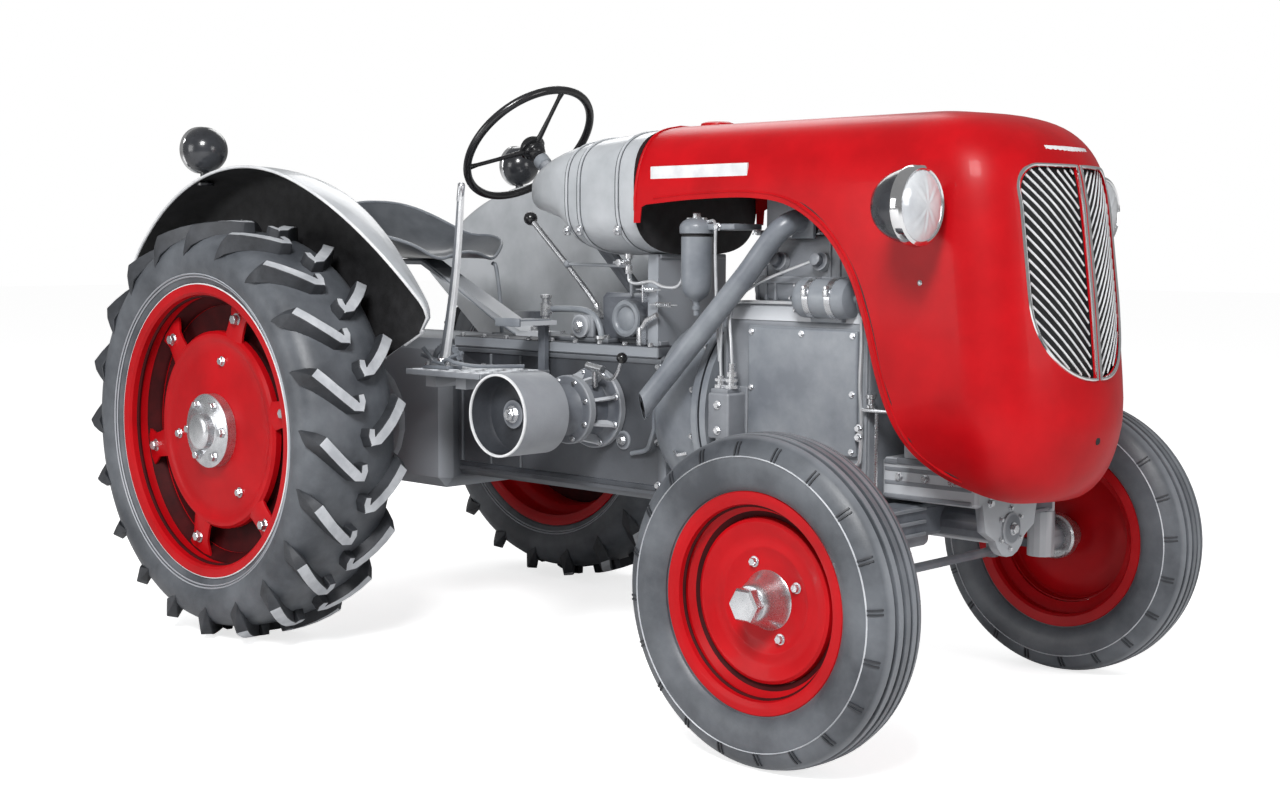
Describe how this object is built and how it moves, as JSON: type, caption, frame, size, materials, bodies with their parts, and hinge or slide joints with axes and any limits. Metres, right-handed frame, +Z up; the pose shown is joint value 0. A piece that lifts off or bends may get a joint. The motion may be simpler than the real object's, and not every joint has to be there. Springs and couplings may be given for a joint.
{
  "type": "vintage tractor",
  "caption": "Small two-wheel-drive vintage farm tractor with a rounded nose hood, divided grille, open seat, mudguards, side belt pulley and steered front axle.",
  "frame": {"origin": "on the ground, under the middle of the whole tractor's box", "axes": "+X forward, +Y to the driver's left, +Z up"},
  "size_m": [2.817, 1.58, 1.5061],
  "materials": {
    "red_paint": "gloss",
    "grey_paint": "satin",
    "light_grey_paint": "satin",
    "bare_steel": "satin",
    "chrome": "polished",
    "grille_steel": "satin",
    "tyre_rubber": "matte",
    "black_plastic": "gloss"
  },
  "bodies": {
    "chassis": {"brake_pedal": "grey_paint", "clutch_housing": "grey_paint", "clutch_pedal": "grey_paint", "cylinder_head": "grey_paint", "drawbar": "grey_paint", "dynamo": "grey_paint", "engine_block": "grey_paint", "exhaust_pipe": "bare_steel", "front_axle_beam": "grey_paint", "front_axle_support": "grey_paint", "fuel_filter": "light_grey_paint", "fuel_tank": "light_grey_paint", "gear_lever": "bare_steel", "gearbox_housing": "grey_paint", "grille": "grille_steel", "hand_lever": "bare_steel", "hood": "red_paint", "injection_pump": "grey_paint", "left_axle_housing": "grey_paint", "left_fender": "light_grey_paint", "left_footrest": "grey_paint", "left_headlamp": "chrome", "left_rear_lamp": "grey_paint", "pulley_housing": "grey_paint", "radiator": "grey_paint", "right_axle_housing": "grey_paint", "right_fender": "light_grey_paint", "right_footrest": "grey_paint", "right_headlamp": "chrome", "right_rear_lamp": "grey_paint", "seat": "grey_paint", "seat_spring": "grey_paint", "steering_column": "grey_paint", "tank_bracket": "grey_paint"},
    "right_rear_wheel": {"right_tyre_rear": "tyre_rubber", "right_rim_rear": "red_paint", "right_disc_rear": "red_paint"},
    "left_rear_wheel": {"left_tyre_rear": "tyre_rubber", "left_rim_rear": "red_paint", "left_disc_rear": "red_paint"},
    "right_steering_knuckle": {"right_knuckle": "grey_paint"},
    "left_steering_knuckle": {"left_knuckle": "grey_paint"},
    "right_front_wheel": {"right_tyre_front": "tyre_rubber", "right_rim_front": "red_paint", "right_hub_front": "grey_paint"},
    "left_front_wheel": {"left_tyre_front": "tyre_rubber", "left_rim_front": "red_paint", "left_hub_front": "grey_paint"},
    "tie_rod": {"tie_rod": "grey_paint"},
    "drag_link": {"drag_link": "grey_paint"},
    "drop_arm": {"drop_arm": "grey_paint"},
    "steering_wheel": {"steering_wheel": "black_plastic"},
    "belt_pulley": {"belt_pulley": "grey_paint"},
    "pto_shaft": {"pto_shaft": "bare_steel"}
  },
  "joints": [
    {"name": "right_steer", "type": "hinge", "parent": "chassis", "child": "right_steering_knuckle", "pos_m": [0.9975, -0.47, 0.347], "axis": [0, 0, 1], "range_deg": [-35, 35]},
    {"name": "left_steer", "type": "hinge", "parent": "chassis", "child": "left_steering_knuckle", "pos_m": [0.9975, 0.47, 0.347], "axis": [0, 0, 1], "range_deg": [-35, 35]},
    {"name": "right_front_spin", "type": "hinge", "parent": "right_steering_knuckle", "child": "right_front_wheel", "pos_m": [0.9975, -0.6, 0.347], "axis": [0, 1, 0], "continuous": true},
    {"name": "left_front_spin", "type": "hinge", "parent": "left_steering_knuckle", "child": "left_front_wheel", "pos_m": [0.9975, 0.6, 0.347], "axis": [0, 1, 0], "continuous": true},
    {"name": "tie_rod_eye", "type": "hinge", "parent": "right_steering_knuckle", "child": "tie_rod", "pos_m": [0.8575, -0.47, 0.3], "axis": [0, 0, 1], "range_deg": [-35, 35]},
    {"name": "drag_link_ball", "type": "hinge", "parent": "left_steering_knuckle", "child": "drag_link", "pos_m": [0.9975, 0.34, 0.52], "axis": [0, 0, 1], "range_deg": [-35, 35]},
    {"name": "drop_arm_pivot", "type": "hinge", "parent": "chassis", "child": "drop_arm", "pos_m": [0.1205, 0, 0.885], "axis": [0, 1, 0], "range_deg": [-16, 16]},
    {"name": "steering_wheel_turn", "type": "hinge", "parent": "chassis", "child": "steering_wheel", "pos_m": [-0.3685, 0, 1.354], "axis": [-0.7193, 0, 0.6947], "range_deg": [-420, 420]},
    {"name": "right_rear_spin", "type": "hinge", "parent": "chassis", "child": "right_rear_wheel", "pos_m": [-0.8395, -0.643, 0.569], "axis": [0, 1, 0], "continuous": true},
    {"name": "left_rear_spin", "type": "hinge", "parent": "chassis", "child": "left_rear_wheel", "pos_m": [-0.8395, 0.643, 0.569], "axis": [0, 1, 0], "continuous": true},
    {"name": "belt_pulley_spin", "type": "hinge", "parent": "chassis", "child": "belt_pulley", "pos_m": [0.0505, -0.42, 0.655], "axis": [0, 1, 0], "continuous": true},
    {"name": "pto_spin", "type": "hinge", "parent": "chassis", "child": "pto_shaft", "pos_m": [-1.0598, 0, 0.56], "axis": [1, 0, 0], "continuous": true}
  ],
  "couplings": [
    {"joint": "left_steer", "follows": "right_steer", "ratio": 1},
    {"joint": "tie_rod_eye", "follows": "right_steer", "ratio": -1},
    {"joint": "drag_link_ball", "follows": "right_steer", "ratio": -1},
    {"joint": "drop_arm_pivot", "follows": "right_steer", "ratio": -0.44},
    {"joint": "steering_wheel_turn", "follows": "right_steer", "ratio": 12}
  ]
}
